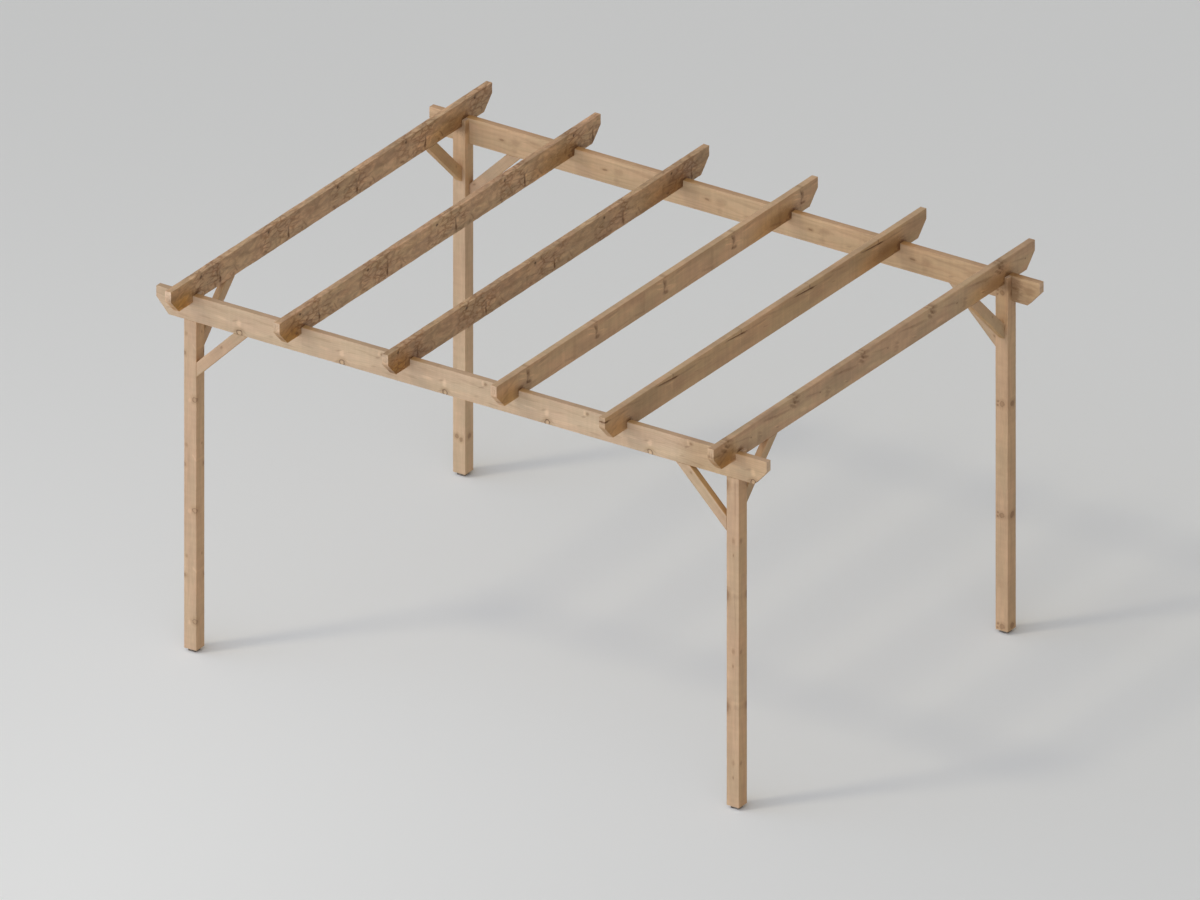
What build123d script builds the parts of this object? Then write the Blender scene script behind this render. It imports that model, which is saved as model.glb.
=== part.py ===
from build123d import *
import os

# Garden pergola in solid timber. Lengths are in millimetres. X runs along the
# two beams, Y runs along the rafters from front to back, and Z is up. The
# origin is on the floor in the middle of the footprint.

# Footprint over the outer faces of the four posts.
frame_width = 4000.0
frame_depth = 3000.0

# Height of a post from its lower end to the seat that carries the beam.
post_seat_height = 2190.0

# Cross sections of the timbers.
post_size = 90.0
beam_thickness = 45.0
beam_height = 170.0
rafter_thickness = 45.0
rafter_height = 165.0
brace_thickness = 45.0
brace_width = 70.0
edge_radius = 3.0

# Beams and rafters run on past the posts.
beam_overhang = 200.0
rafter_overhang = 240.0

# Both kinds end in a short upright cut below the top edge and then a straight
# bevel that runs back to the lower edge.
end_upright_cut = 70.0
end_bevel_run = 90.0

# Six rafters, the outer two centred over the posts.
rafter_count = 6

# Each rafter is notched over both beams by this much of its height. The outer
# two are notched over the post tops as well.
rafter_notch_depth = 45.0

# Sideways play left in the notches, so that a timber drops into place.
notch_clearance = 1.0

# A brace meets the post this far below the timber it props, measured along
# the post to its outer corner. Its two ends are cut at half a right angle.
brace_reach = 365.0

# A pad under each post keeps its end grain off wet ground.
foot_height = 20.0
foot_inset = 18.0
foot_chamfer = 2.0

# Levels and places that follow from the sizes above.
beam_underside = foot_height + post_seat_height
beam_top = beam_underside + beam_height
rafter_underside = beam_top - rafter_notch_depth
rafter_top = rafter_underside + rafter_height
beam_length = frame_width + 2 * beam_overhang
rafter_length = frame_depth + 2 * rafter_overhang
post_centre_x = (frame_width - post_size) / 2
post_centre_y = (frame_depth - post_size) / 2
outer_face_y = frame_depth / 2
inner_face_x = frame_width / 2 - post_size
inner_face_y = frame_depth / 2 - post_size
rafter_spacing = 2 * post_centre_x / (rafter_count - 1)
brace_seat = brace_width * 2 ** 0.5

# The four corners: name, direction from the middle along X, and along Y.
corners = [
    ("front_left", -1, -1),
    ("front_right", 1, -1),
    ("back_left", -1, 1),
    ("back_right", 1, 1),
]

os.makedirs("parts", exist_ok=True)


def make_foot(side_x, side_y):
    """A square pad set back from the faces of the post above it."""
    with BuildPart() as foot:
        with BuildSketch():
            with Locations((side_x * post_centre_x, side_y * post_centre_y)):
                Rectangle(post_size - 2 * foot_inset, post_size - 2 * foot_inset)
        extrude(amount=foot_height)
        chamfer(foot.edges().filter_by(Axis.Z), length=foot_chamfer)
    return foot


def make_post(side_x, side_y):
    """A post with a half lap at the top.

    The outer half stops at the beam seat. The inner half runs on up behind
    the beam as a lip and ends level with the top of the beam.
    """
    # In the side view the sketch's X starts at the outer face and runs inward.
    side_view = Plane(
        origin=(side_x * post_centre_x, side_y * outer_face_y, 0),
        x_dir=(0, -side_y, 0),
        z_dir=(-side_y, 0, 0),
    )
    lap_depth = beam_thickness + notch_clearance
    with BuildPart() as post:
        with BuildSketch(side_view):
            with BuildLine():
                Polyline(
                    (0, foot_height),
                    (post_size, foot_height),
                    (post_size, beam_top),
                    (lap_depth, beam_top),
                    (lap_depth, beam_underside),
                    (0, beam_underside),
                    close=True,
                )
            make_face()
        extrude(amount=post_size / 2, both=True)
        # The lap's own short upright edges stay sharp, as the saw leaves them.
        long_edges = post.edges().filter_by(Axis.Z).group_by(SortBy.LENGTH)[1:]
        fillet([edge for group in long_edges for edge in group], radius=edge_radius)
    return post


def make_beam(side_y):
    """A beam along X whose outer face is flush with the posts."""
    half_length = beam_length / 2
    with BuildPart() as beam:
        with BuildSketch(Plane.XZ.offset(-side_y * (outer_face_y - beam_thickness / 2))):
            with BuildLine():
                Polyline(
                    (-half_length, beam_top),
                    (-half_length, beam_top - end_upright_cut),
                    (-half_length + end_bevel_run, beam_underside),
                    (half_length - end_bevel_run, beam_underside),
                    (half_length, beam_top - end_upright_cut),
                    (half_length, beam_top),
                    close=True,
                )
            make_face()
        extrude(amount=beam_thickness / 2, both=True)
        fillet(beam.edges().filter_by(Axis.X), radius=edge_radius)
    return beam


def make_rafter(number):
    """A rafter along Y, notched over both beams.

    The first and the last lie over the posts, so their notches are as wide as
    a beam and the lip behind it.
    """
    centre_x = (number - 1) * rafter_spacing - post_centre_x
    half_length = rafter_length / 2
    over_posts = number in (1, rafter_count)
    notch_width = post_size if over_posts else beam_thickness
    notch_outer = outer_face_y
    notch_inner = outer_face_y - notch_width - notch_clearance
    with BuildPart() as rafter:
        with BuildSketch(Plane.YZ.offset(centre_x)):
            with BuildLine():
                Polyline(
                    (-half_length, rafter_top),
                    (-half_length, rafter_top - end_upright_cut),
                    (-half_length + end_bevel_run, rafter_underside),
                    (-notch_outer, rafter_underside),
                    (-notch_outer, beam_top),
                    (-notch_inner, beam_top),
                    (-notch_inner, rafter_underside),
                    (notch_inner, rafter_underside),
                    (notch_inner, beam_top),
                    (notch_outer, beam_top),
                    (notch_outer, rafter_underside),
                    (half_length - end_bevel_run, rafter_underside),
                    (half_length, rafter_top - end_upright_cut),
                    (half_length, rafter_top),
                    close=True,
                )
            make_face()
        extrude(amount=rafter_thickness / 2, both=True)
        levels = rafter.edges().filter_by(Axis.Y).group_by(Axis.Z)
        # The lowest and highest levels are the planed edges. The level between
        # is the roof of the two notches, cut on site and left sharp.
        fillet(levels[0] + levels[-1], radius=edge_radius)
    return rafter


def make_brace(face_view, underside):
    """A brace mitred between a post's face and the timber above it.

    In the view, X is the distance out from the post's face and Y is height.
    """
    with BuildPart() as brace:
        with BuildSketch(face_view):
            with BuildLine():
                Polyline(
                    (0, underside - brace_reach),
                    (brace_reach, underside),
                    (brace_reach - brace_seat, underside),
                    (0, underside - brace_reach + brace_seat),
                    close=True,
                )
            make_face()
        extrude(amount=brace_thickness / 2, both=True)
        long_edges = brace.edges().group_by(SortBy.LENGTH)[-2:]
        fillet([edge for group in long_edges for edge in group], radius=edge_radius)
    return brace


def make_beam_brace(side_x, side_y):
    """A brace in the plane of a beam."""
    centre_y = side_y * (outer_face_y - brace_thickness / 2)
    face_view = Plane(
        origin=(side_x * inner_face_x, centre_y, 0),
        x_dir=(-side_x, 0, 0),
        z_dir=(0, side_x, 0),
    )
    return make_brace(face_view, beam_underside)


def make_rafter_brace(side_x, side_y):
    """A brace in the plane of an outer rafter."""
    face_view = Plane(
        origin=(side_x * post_centre_x, side_y * inner_face_y, 0),
        x_dir=(0, -side_y, 0),
        z_dir=(-side_y, 0, 0),
    )
    return make_brace(face_view, rafter_underside)


for corner_name, side_x, side_y in corners:
    foot = make_foot(side_x, side_y)
    foot.part.label = corner_name + "_foot"
    export_step(foot.part, "parts/" + foot.part.label + ".step")

    post = make_post(side_x, side_y)
    post.part.label = corner_name + "_post"
    export_step(post.part, "parts/" + post.part.label + ".step")

    beam_brace = make_beam_brace(side_x, side_y)
    beam_brace.part.label = corner_name + "_beam_brace"
    export_step(beam_brace.part, "parts/" + beam_brace.part.label + ".step")

    rafter_brace = make_rafter_brace(side_x, side_y)
    rafter_brace.part.label = corner_name + "_rafter_brace"
    export_step(rafter_brace.part, "parts/" + rafter_brace.part.label + ".step")

for beam_name, side_y in [("front_beam", -1), ("back_beam", 1)]:
    beam = make_beam(side_y)
    beam.part.label = beam_name
    export_step(beam.part, "parts/" + beam.part.label + ".step")

for number in range(1, rafter_count + 1):
    rafter = make_rafter(number)
    rafter.part.label = "rafter_" + str(number)
    export_step(rafter.part, "parts/" + rafter.part.label + ".step")
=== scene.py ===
# %% [markdown]
# # A garden pergola, timber by timber
#
# The real object is a carpenter's frame: four square posts with half laps at
# their tops, two long beams let into those laps, six rafters notched over the
# beams and eight mitred braces. The CAD frame already holds every size and
# place. This lesson gives each timber the look of planed softwood: eased
# edges, a little unevenness, drying cracks, growth rings and knots.

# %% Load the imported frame
import math
import random
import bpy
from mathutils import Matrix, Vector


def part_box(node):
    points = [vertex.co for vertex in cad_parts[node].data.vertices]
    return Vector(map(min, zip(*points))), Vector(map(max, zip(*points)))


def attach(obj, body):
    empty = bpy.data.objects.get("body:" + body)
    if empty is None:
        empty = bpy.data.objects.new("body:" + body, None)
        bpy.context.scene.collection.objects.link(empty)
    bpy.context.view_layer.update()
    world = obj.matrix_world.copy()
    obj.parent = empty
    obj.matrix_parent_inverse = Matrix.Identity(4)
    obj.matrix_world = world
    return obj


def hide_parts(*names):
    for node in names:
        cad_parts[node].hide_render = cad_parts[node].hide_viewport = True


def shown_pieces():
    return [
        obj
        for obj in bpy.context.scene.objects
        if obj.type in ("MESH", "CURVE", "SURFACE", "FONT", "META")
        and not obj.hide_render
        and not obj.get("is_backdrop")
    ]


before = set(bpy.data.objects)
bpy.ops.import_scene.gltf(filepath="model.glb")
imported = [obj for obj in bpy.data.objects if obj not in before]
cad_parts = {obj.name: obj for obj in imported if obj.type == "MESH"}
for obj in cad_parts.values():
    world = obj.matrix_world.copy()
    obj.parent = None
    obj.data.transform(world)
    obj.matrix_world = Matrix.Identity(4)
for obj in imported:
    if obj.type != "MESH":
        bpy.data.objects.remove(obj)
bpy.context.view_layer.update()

from types import SimpleNamespace

import bmesh
import bpy
from mathutils import Euler, Vector

UPWARD = Vector((0.0, 0.0, 1.0))


def rounded(values):
    return [round(value, 4) for value in values]


# %% [markdown]
# The photograph has no vanishing points: edges that are parallel on the
# pergola stay parallel in the picture. So the camera is orthographic. Its
# scale is how many metres the long side of the picture spans, and its
# direction is an azimuth round the object and an elevation above the floor.

# %% Camera
VIEW_AZIMUTH = 33.66
VIEW_ELEVATION = 25.83
VIEW_SPAN = 7.198
VIEW_AIM = Vector((-0.021, 0.032, 1.25))
VIEW_DISTANCE = 20.0

azimuth, elevation = math.radians(VIEW_AZIMUTH), math.radians(VIEW_ELEVATION)
level = math.cos(elevation)
towards_camera = Vector((math.sin(azimuth) * level, -math.cos(azimuth) * level, math.sin(elevation)))
camera_data = bpy.data.cameras.new("photo_camera")
camera_data.type = "ORTHO"
camera_data.ortho_scale = VIEW_SPAN
camera_data.clip_end = 100.0
camera = bpy.data.objects.new("photo_camera", camera_data)
bpy.context.scene.collection.objects.link(camera)
camera.location = VIEW_AIM + towards_camera * VIEW_DISTANCE
camera.rotation_euler = towards_camera.to_track_quat("Z", "Y").to_euler()
bpy.context.scene.camera = camera
bpy.context.scene.view_settings.view_transform = "Standard"
print("camera at", rounded(camera.location))

# %% [markdown]
# A sawmill starts from a square block, and so does this lesson: a cube is
# added at the timber's size, place and turn. Applying them moves the place
# into the mesh, so the object itself stays at the origin, as a CAD piece does.
# Ends are sawn by bisecting with a plane. The same tool, told to take nothing
# away, only scores a line of new edges round the block.

# %% Blocks and the saw
def only(obj):
    """Selects one object and makes it the active one."""
    bpy.ops.object.select_all(action="DESELECT")
    obj.select_set(True)
    bpy.context.view_layer.objects.active = obj


def add_block(name, centre, turn, size):
    """A block with its place already in its mesh."""
    bpy.ops.object.select_all(action="DESELECT")
    bpy.ops.mesh.primitive_cube_add(size=1.0, location=centre, rotation=turn, scale=size)
    block = bpy.context.object
    block.name = block.data.name = name
    bpy.ops.object.transform_apply(location=True, rotation=True, scale=True)
    return block


def saw(obj, point, facing, through=True):
    """Saws with a plane. What lies on the side it faces falls away."""
    only(obj)
    bpy.ops.object.mode_set(mode="EDIT")
    bpy.ops.mesh.select_all(action="SELECT")
    bpy.ops.mesh.bisect(plane_co=point, plane_no=facing, use_fill=through, clear_outer=through)
    bpy.ops.object.mode_set(mode="OBJECT")


def score(obj, point, facing):
    """Adds a line of edges where the plane passes, and takes nothing away."""
    saw(obj, point, facing, through=False)


print("blocks and saw ready")

# %% [markdown]
# A plane takes the sharp corners off a timber, and handling breaks the edges
# that the saw leaves. Both are bevels in edit mode. The long edges are picked
# by their direction, and the sawn ones are the sharp edges that are left.

# %% Eased edges
EDGE_RADIUS = 0.003
SAWN_EDGE = 0.0012
SHARP = math.radians(35)


def select_edges(obj, wanted):
    """In edit mode, selects the edges that pass a test."""
    bpy.ops.mesh.select_mode(type="EDGE")
    bpy.ops.mesh.select_all(action="DESELECT")
    shape = bmesh.from_edit_mesh(obj.data)
    for edge in shape.edges:
        edge.select_set(wanted(edge))
    bmesh.update_edit_mesh(obj.data)


def runs_along(edge, axis):
    run = edge.verts[1].co - edge.verts[0].co
    return run.length > 1e-6 and abs(run.normalized().dot(axis)) > 0.9999


def ease_edges(obj, axis):
    """Rounds the long edges and breaks the sawn ones."""
    only(obj)
    bpy.ops.object.mode_set(mode="EDIT")
    select_edges(obj, lambda edge: runs_along(edge, axis))
    bpy.ops.mesh.bevel(offset=EDGE_RADIUS, segments=3, affect="EDGES")
    select_edges(obj, lambda edge: edge.is_manifold and not runs_along(edge, axis)
                 and edge.calc_face_angle() > SHARP)
    bpy.ops.mesh.bevel(offset=SAWN_EDGE, segments=1, affect="EDGES")
    bpy.ops.object.mode_set(mode="OBJECT")


print("eased edges:", EDGE_RADIUS, "m, sawn edges:", SAWN_EDGE, "m")

# %% [markdown]
# No real board is quite flat. A Displace modifier can sink a surface a little
# here and there, but only where it has vertices to move, so the long edges
# are divided first. That comes after the bevels, because a bevel would trip
# over small faces. The modifier reads a cloud texture through an empty that
# lies as the timber does, stretched along it, so the hollows run with the
# grain. It only ever sinks, and the timber stays inside its CAD size.

# %% Uneven faces
MOST_CUTS = 90
SECOND_ROUND = 5


def divide(obj, axis, centre, half_length, step):
    """Divides the edges that run along an axis, in the middle stretch."""
    for side in (-1, 1):
        score(obj, centre + axis * side * half_length, axis)
    pieces = max(2, round(2 * half_length / step))
    # One subdivide makes at most 100 cuts, so a finer one takes two rounds.
    rounds = [pieces] if pieces <= MOST_CUTS else [math.ceil(pieces / SECOND_ROUND), SECOND_ROUND]
    bpy.ops.object.mode_set(mode="EDIT")
    for count in rounds:
        select_edges(obj, lambda edge: runs_along(edge, axis) and all(
            abs((vert.co - centre).dot(axis)) < half_length + 1e-4 for vert in edge.verts))
        bpy.ops.mesh.subdivide(number_cuts=count - 1)
    bpy.ops.object.mode_set(mode="OBJECT")


def make_uneven(obj, centre, turn, grain_size, relief):
    """Sinks the faces a little, in patches drawn out along the grain."""
    patches = bpy.data.textures.new(obj.name + "_patches", "CLOUDS")
    patches.noise_scale = 1.0
    patches.noise_depth = 2
    bpy.ops.object.select_all(action="DESELECT")
    bpy.ops.object.empty_add(location=centre, rotation=turn)
    guide = bpy.context.object
    guide.scale = grain_size
    only(obj)
    bpy.ops.object.modifier_add(type="DISPLACE")
    sink = obj.modifiers[-1]
    sink.texture = patches
    sink.texture_coords = "OBJECT"
    sink.texture_coords_object = guide
    sink.strength = relief
    sink.mid_level = 1.0
    bpy.context.view_layer.update()
    bpy.ops.object.modifier_apply(modifier=sink.name)
    bpy.data.objects.remove(guide)


print("uneven faces ready")

# %% [markdown]
# The sizes come from the CAD frame, so the lesson can't drift away from it.
# A beam's grain runs left to right, a rafter's front to back and a post's
# upwards. Each turn below carries a timber's own length onto that line, and
# later the wood of each timber is turned by the same amount.

# %% Sizes read from the frame, and the ways a timber lies
RIGHT_ANGLE = math.radians(90)
ALONG_BEAM = (0.0, 0.0, 0.0)
ALONG_RAFTER = (0.0, 0.0, RIGHT_ANGLE)
ALONG_POST = (0.0, -RIGHT_ANGLE, 0.0)
CORNERS = [("front_left", -1, -1), ("front_right", 1, -1), ("back_left", -1, 1), ("back_right", 1, 1)]


def grain_axis(turn):
    """The direction that a timber's length points in once it is turned."""
    axis = Vector((1.0, 0.0, 0.0))
    axis.rotate(Euler(turn, "XYZ"))
    return axis


def corners_of(node):
    low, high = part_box(node)
    return Vector(low), Vector(high)


def block_of(node, turn):
    """Centre, and size along the timber's own axes, of a CAD piece's box."""
    low, high = corners_of(node)
    size = high - low
    if turn == ALONG_RAFTER:
        size = Vector((size.y, size.x, size.z))
    elif turn == ALONG_POST:
        size = Vector((size.z, size.y, size.x))
    return (low + high) / 2, size


beam_low, beam_high = corners_of("front_beam")
rafter_low, rafter_high = corners_of("rafter_1")
print("beam", rounded(beam_high - beam_low), "rafter", rounded(rafter_high - rafter_low))

# %% [markdown]
# Beams and rafters end alike: a short upright cut, then a straight bevel back
# to the lower edge, which sheds rain and looks lighter from below. One
# function makes both. Planed stock is nearly flat, with hollows of about a
# millimetre. Hewn stock is rougher, so it gets finer faces and deeper hollows.
# Each finished piece rides on the frame's only body, takes the place of its
# CAD piece, and is remembered with its place, size and turn.

# %% Long timbers
UPRIGHT_CUT = 0.070
BEVEL_RUN = 0.090
END_MARGIN = 0.01
PLANED_STOCK = {"step": 0.030, "rows": 8, "relief": 0.0012, "grain_size": (0.40, 0.05, 0.05)}
HEWN_STOCK = {"step": 0.013, "rows": 14, "relief": 0.0032, "grain_size": (0.09, 0.045, 0.045)}
timbers = {}


def keep_piece(piece, node, centre, size, turn):
    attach(piece, "root")
    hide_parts(node)
    timbers[node] = (piece, centre, size, turn)
    print(node, len(piece.data.polygons), "faces")


def long_timber(node, turn, slot, step, rows, relief, grain_size):
    """A beam or a rafter without its notches."""
    centre, size = block_of(node, turn)
    axis = grain_axis(turn)
    timber = add_block(node + "_timber", centre, turn, size)
    half, drop = size.x / 2, size.z - UPRIGHT_CUT
    for side in (-1, 1):
        tip = centre + axis * side * half + UPWARD * (size.z / 2 - UPRIGHT_CUT)
        saw(timber, tip, (axis * side * drop - UPWARD * BEVEL_RUN).normalized())
    ease_edges(timber, axis)
    divide(timber, axis, centre, half - BEVEL_RUN - END_MARGIN, step)
    for row in range(1, rows):
        level = centre.z + size.z * (row / rows - 0.5)
        score(timber, Vector((centre.x, centre.y, level)), UPWARD)
    sideways = axis.cross(UPWARD)
    for side in (-1, 1):
        score(timber, centre + sideways * side * size.y / 6, sideways)
    make_uneven(timber, centre, turn, grain_size, relief)
    keep_piece(timber, node, centre, size, turn)


print("bevel", UPRIGHT_CUT, "m below the top, over", BEVEL_RUN, "m")

# %% [markdown]
# The two beams lie along the long sides, flush with the outer faces of the
# posts. They are planed and straight.

# %% Make the beams
for node in ("front_beam", "back_beam"):
    long_timber(node, ALONG_BEAM, "beam_timber", **PLANED_STOCK)

# %% [markdown]
# The six rafters sit down over the beams in notches. A carpenter chops a
# notch out with a chisel, and here a block is the chisel: a Boolean modifier
# takes its shape away. That comes last, so that the walls of a notch stay
# flat where the timbers meet. The outer two rafters stand over the posts, and
# their notches are as wide as a beam and the lip of a post together.

# %% Make the rafters
POST_WIDTH = 0.090
BOARD = 0.045
LAP_PLAY = 0.001
OVERCUT = 0.02
ROUGH_RAFTERS = (1, 2, 3)


def cut_away(obj, cutter):
    """Takes the cutter's shape out of a timber."""
    only(obj)
    bpy.ops.object.modifier_add(type="BOOLEAN")
    chisel = obj.modifiers[-1]
    chisel.operation = "DIFFERENCE"
    chisel.solver = "MANIFOLD"
    chisel.object = cutter
    bpy.ops.object.modifier_apply(modifier=chisel.name)
    bpy.data.objects.remove(cutter)


def chop_notches(node, width):
    rafter, centre, size, turn = timbers[node]
    depth = beam_high.z - rafter_low.z
    for side in (-1, 1):
        middle = side * (abs(beam_low.y) - (width + LAP_PLAY) / 2)
        level = (beam_high.z + rafter_low.z) / 2 - OVERCUT / 2
        cutter = add_block("chisel", (centre.x, middle, level), (0, 0, 0),
                           (size.y + OVERCUT, width + LAP_PLAY, depth + OVERCUT))
        cut_away(rafter, cutter)


for number in range(1, 7):
    node = f"rafter_{number}"
    stock = HEWN_STOCK if number in ROUGH_RAFTERS else PLANED_STOCK
    long_timber(node, ALONG_RAFTER, "rafter_timber", **stock)
    chop_notches(node, POST_WIDTH if number in (1, 6) else BOARD)
    print("with its notches", len(timbers[node][0].data.polygons), "faces")

# %% [markdown]
# Softwood shrinks as it dries, and splits open along the grain. Such a check
# is long, thin and wedge shaped, so its cutter is a thin lens: a ball with few
# faces, drawn out, made slightly crooked, and pushed half into the timber.

# %% A cutter for drying checks
def check_cutter(checks, seed):
    """One cutter for a list of checks: (place, turn, length, width, depth)."""
    lenses = []
    for number, (place, turn, length, width, depth) in enumerate(checks):
        bpy.ops.object.select_all(action="DESELECT")
        bpy.ops.mesh.primitive_uv_sphere_add(segments=6, ring_count=14, radius=1.0, location=place,
                                             rotation=turn, scale=(depth, width / 2, length / 2))
        lenses.append(bpy.context.object)
        bpy.ops.object.transform_apply(location=True, rotation=True, scale=True)
        bpy.ops.object.mode_set(mode="EDIT")
        bpy.ops.mesh.select_all(action="SELECT")
        bpy.ops.transform.vertex_random(offset=width * 0.22, seed=seed + number)
        bpy.ops.object.mode_set(mode="OBJECT")
    bpy.ops.object.select_all(action="DESELECT")
    for lens in lenses:
        lens.select_set(True)
    bpy.context.view_layer.objects.active = lenses[0]
    if len(lenses) > 1:
        bpy.ops.object.join()
    return bpy.context.object


print("check cutter ready")

# %% [markdown]
# A pine grows one ring of branches a year, so knots and splits come back
# along a board at nearly even steps. The step and where it starts on each
# rafter were read off the photograph. The rough rafters split upright,
# through the bark pocket of each step. Rafter 5 has a long seam under its top
# edge with a short tick up to the top. Every sawn end has two hair cracks.

# %% Open the checks in the rafters
YEAR_STEP = 0.7405
RAFTER_START = {1: -1.516, 2: -1.618, 3: -1.727, 4: -1.493, 5: -1.281, 6: -1.698}
POCKET, SEAM, TICK = 0.309, 0.2275, 0.276
SEAM_LEAN, TICK_LEAN = 0.064, 0.10
check_rng = random.Random(11)


def checks_of(number, centre, size):
    """The seams, ticks and hair cracks of one rafter."""
    side_x, top_z = centre.x + size.y / 2, centre.z + size.z / 2
    seams, ticks, hairs = [], [], []
    for year in range(-1, 5):
        start = RAFTER_START[number] + year * YEAR_STEP
        if number in ROUGH_RAFTERS and abs(start + POCKET) < 1.30:
            seams.append(((side_x, start + POCKET, top_z - 0.100), (0, 0, 0), 0.085, 0.0055, 0.0070))
        if number == 5 and -1.8 < start + SEAM < 1.5:
            seams.append(((side_x, start + SEAM, top_z - 0.0250), (RIGHT_ANGLE - SEAM_LEAN, 0, 0),
                          0.265, 0.0060, 0.0080))
            ticks.append(((side_x, start + TICK, top_z - 0.0100), (TICK_LEAN, 0, 0), 0.034, 0.0045, 0.0060))
    for side in (-1, 1):
        for offset in (-0.007, 0.006):
            spot = (centre.x + offset + check_rng.uniform(-0.002, 0.002), centre.y + side * size.x / 2,
                    top_z - 0.035 + check_rng.uniform(-0.008, 0.008))
            hairs.append((spot, (0, 0, RIGHT_ANGLE), check_rng.uniform(0.030, 0.050), 0.0016, 0.0060))
    return seams, ticks, hairs


for number in range(1, 7):
    timber, centre, size, turn = timbers[f"rafter_{number}"]
    patterns = checks_of(number, centre, size)
    for pattern in patterns:
        if pattern:
            cut_away(timber, check_cutter(pattern, seed=number))
    print(f"rafter_{number} seams, ticks and hair cracks:", [len(pattern) for pattern in patterns])

# %% [markdown]
# Each post carries the beam on a half lap: the outer half is cut down to a
# seat, and the inner half runs on behind the beam as a lip, level with its
# top. The cutter is a block over the outer half.

# %% Make the posts
LAP = BOARD + LAP_PLAY
LAP_CUTTER_HEIGHT = 0.20
for corner, side_x, side_y in CORNERS:
    node = corner + "_post"
    centre, size = block_of(node, ALONG_POST)
    axis = grain_axis(ALONG_POST)
    timber = add_block(node + "_timber", centre, ALONG_POST, size)
    ease_edges(timber, axis)
    divide(timber, axis, centre, size.x / 2 - END_MARGIN, PLANED_STOCK["step"])
    for row in (-2, -1, 1, 2):
        for sideways, width in ((Vector((1, 0, 0)), size.z), (Vector((0, 1, 0)), size.y)):
            score(timber, centre + sideways * (row * width / 6), sideways)
    make_uneven(timber, centre, ALONG_POST, PLANED_STOCK["grain_size"], PLANED_STOCK["relief"])
    middle = side_y * (abs(beam_low.y) - LAP / 2 + OVERCUT / 2)
    cutter = add_block("chisel", (centre.x, middle, beam_low.z + LAP_CUTTER_HEIGHT / 2), (0, 0, 0),
                       (POST_WIDTH + OVERCUT, LAP + OVERCUT, LAP_CUTTER_HEIGHT))
    cut_away(timber, cutter)
    keep_piece(timber, node, centre, size, ALONG_POST)

# %% [markdown]
# A brace keeps a corner square. It is one block laid at half a right angle,
# longer than it needs to be, with one end sawn upright against the post and
# the other level under the beam or rafter. A few scored lines give its faces
# vertices to sink.

# %% Make the braces
BRACE_WIDTH = 0.070
BRACE_ROW = 0.035
BRACE_GRAIN, BRACE_RELIEF = (0.30, 0.05, 0.05), 0.0010
SLANT = math.radians(45)
for corner, side_x, side_y in CORNERS:
    for kind in ("beam", "rafter"):
        node = f"{corner}_{kind}_brace"
        low, high = corners_of(node)
        out = Vector((-side_x, 0, 0)) if kind == "beam" else Vector((0, -side_y, 0))
        turn = (0.0, -SLANT, math.atan2(out.y, out.x))
        axis = grain_axis(turn)
        box_centre, reach = (low + high) / 2, high.z - low.z
        centre = box_centre + (UPWARD - out).normalized() * BRACE_WIDTH / 2
        size = Vector((reach * 2, BOARD, BRACE_WIDTH))
        timber = add_block(node + "_timber", centre, turn, size)
        saw(timber, box_centre - out * reach / 2, -out)
        saw(timber, box_centre + UPWARD * reach / 2, UPWARD)
        ease_edges(timber, axis)
        for row in range(-6, 7):
            score(timber, box_centre + axis * row * BRACE_ROW, axis)
        make_uneven(timber, centre, turn, BRACE_GRAIN, BRACE_RELIEF)
        keep_piece(timber, node, centre, size, turn)

# %% [markdown]
# A moulded pad lifts each post's end grain off the wet floor. It is a low
# block with rounded corners and three grooves round it. Six scored lines
# bound the grooves, and the narrow faces between each pair are picked by
# their height and inset inwards.

# %% Make the pads
GROOVES = (0.005, 0.010, 0.015)
GROOVE_EDGES = (0.004, 0.006, 0.009, 0.011, 0.014, 0.016)
GROOVE_DEPTH = 0.0012
PAD_RADIUS = 0.004
SAME_LEVEL = 0.0005
for corner, side_x, side_y in CORNERS:
    node = corner + "_foot"
    centre, size = block_of(node, ALONG_BEAM)
    base = corners_of(node)[0].z
    pad = add_block(node + "_pad", centre, (0, 0, 0), size)
    only(pad)
    bpy.ops.object.mode_set(mode="EDIT")
    select_edges(pad, lambda edge: runs_along(edge, UPWARD))
    bpy.ops.mesh.bevel(offset=PAD_RADIUS, segments=3, affect="EDGES")
    bpy.ops.object.mode_set(mode="OBJECT")
    for level in GROOVE_EDGES:
        score(pad, Vector((centre.x, centre.y, base + level)), UPWARD)
    bpy.ops.object.mode_set(mode="EDIT")
    for level in GROOVES:
        bpy.ops.mesh.select_mode(type="FACE")
        bpy.ops.mesh.select_all(action="DESELECT")
        shape = bmesh.from_edit_mesh(pad.data)
        for face in shape.faces:
            beside = abs(face.calc_center_median().z - base - level)
            face.select_set(beside < SAME_LEVEL and abs(face.normal.z) < 0.5)
        bmesh.update_edit_mesh(pad.data)
        bpy.ops.mesh.inset(thickness=0.0, depth=-GROOVE_DEPTH, use_even_offset=True)
    bpy.ops.object.mode_set(mode="OBJECT")
    keep_piece(pad, node, centre, size, ALONG_BEAM)

# %% [markdown]
# Rounded edges are made of flat strips and should look round, while sawn ends
# should stay crisp. Smoothing by angle does both: faces that meet at less
# than this angle are shaded as one surface, and the others keep their edge.

# %% Smooth what is rounded
SMOOTH_BELOW = math.radians(32)
for timber, centre, size, turn in timbers.values():
    only(timber)
    bpy.ops.object.shade_smooth_by_angle(angle=SMOOTH_BELOW)
print(len(timbers), "pieces shaped")

# %% [markdown]
# Now the wood. A material is a graph of nodes, and every node is added the same
# way: choose its settings, then feed each input with a link or a plain value.
# Doing that in one place keeps the graphs below readable.

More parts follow.
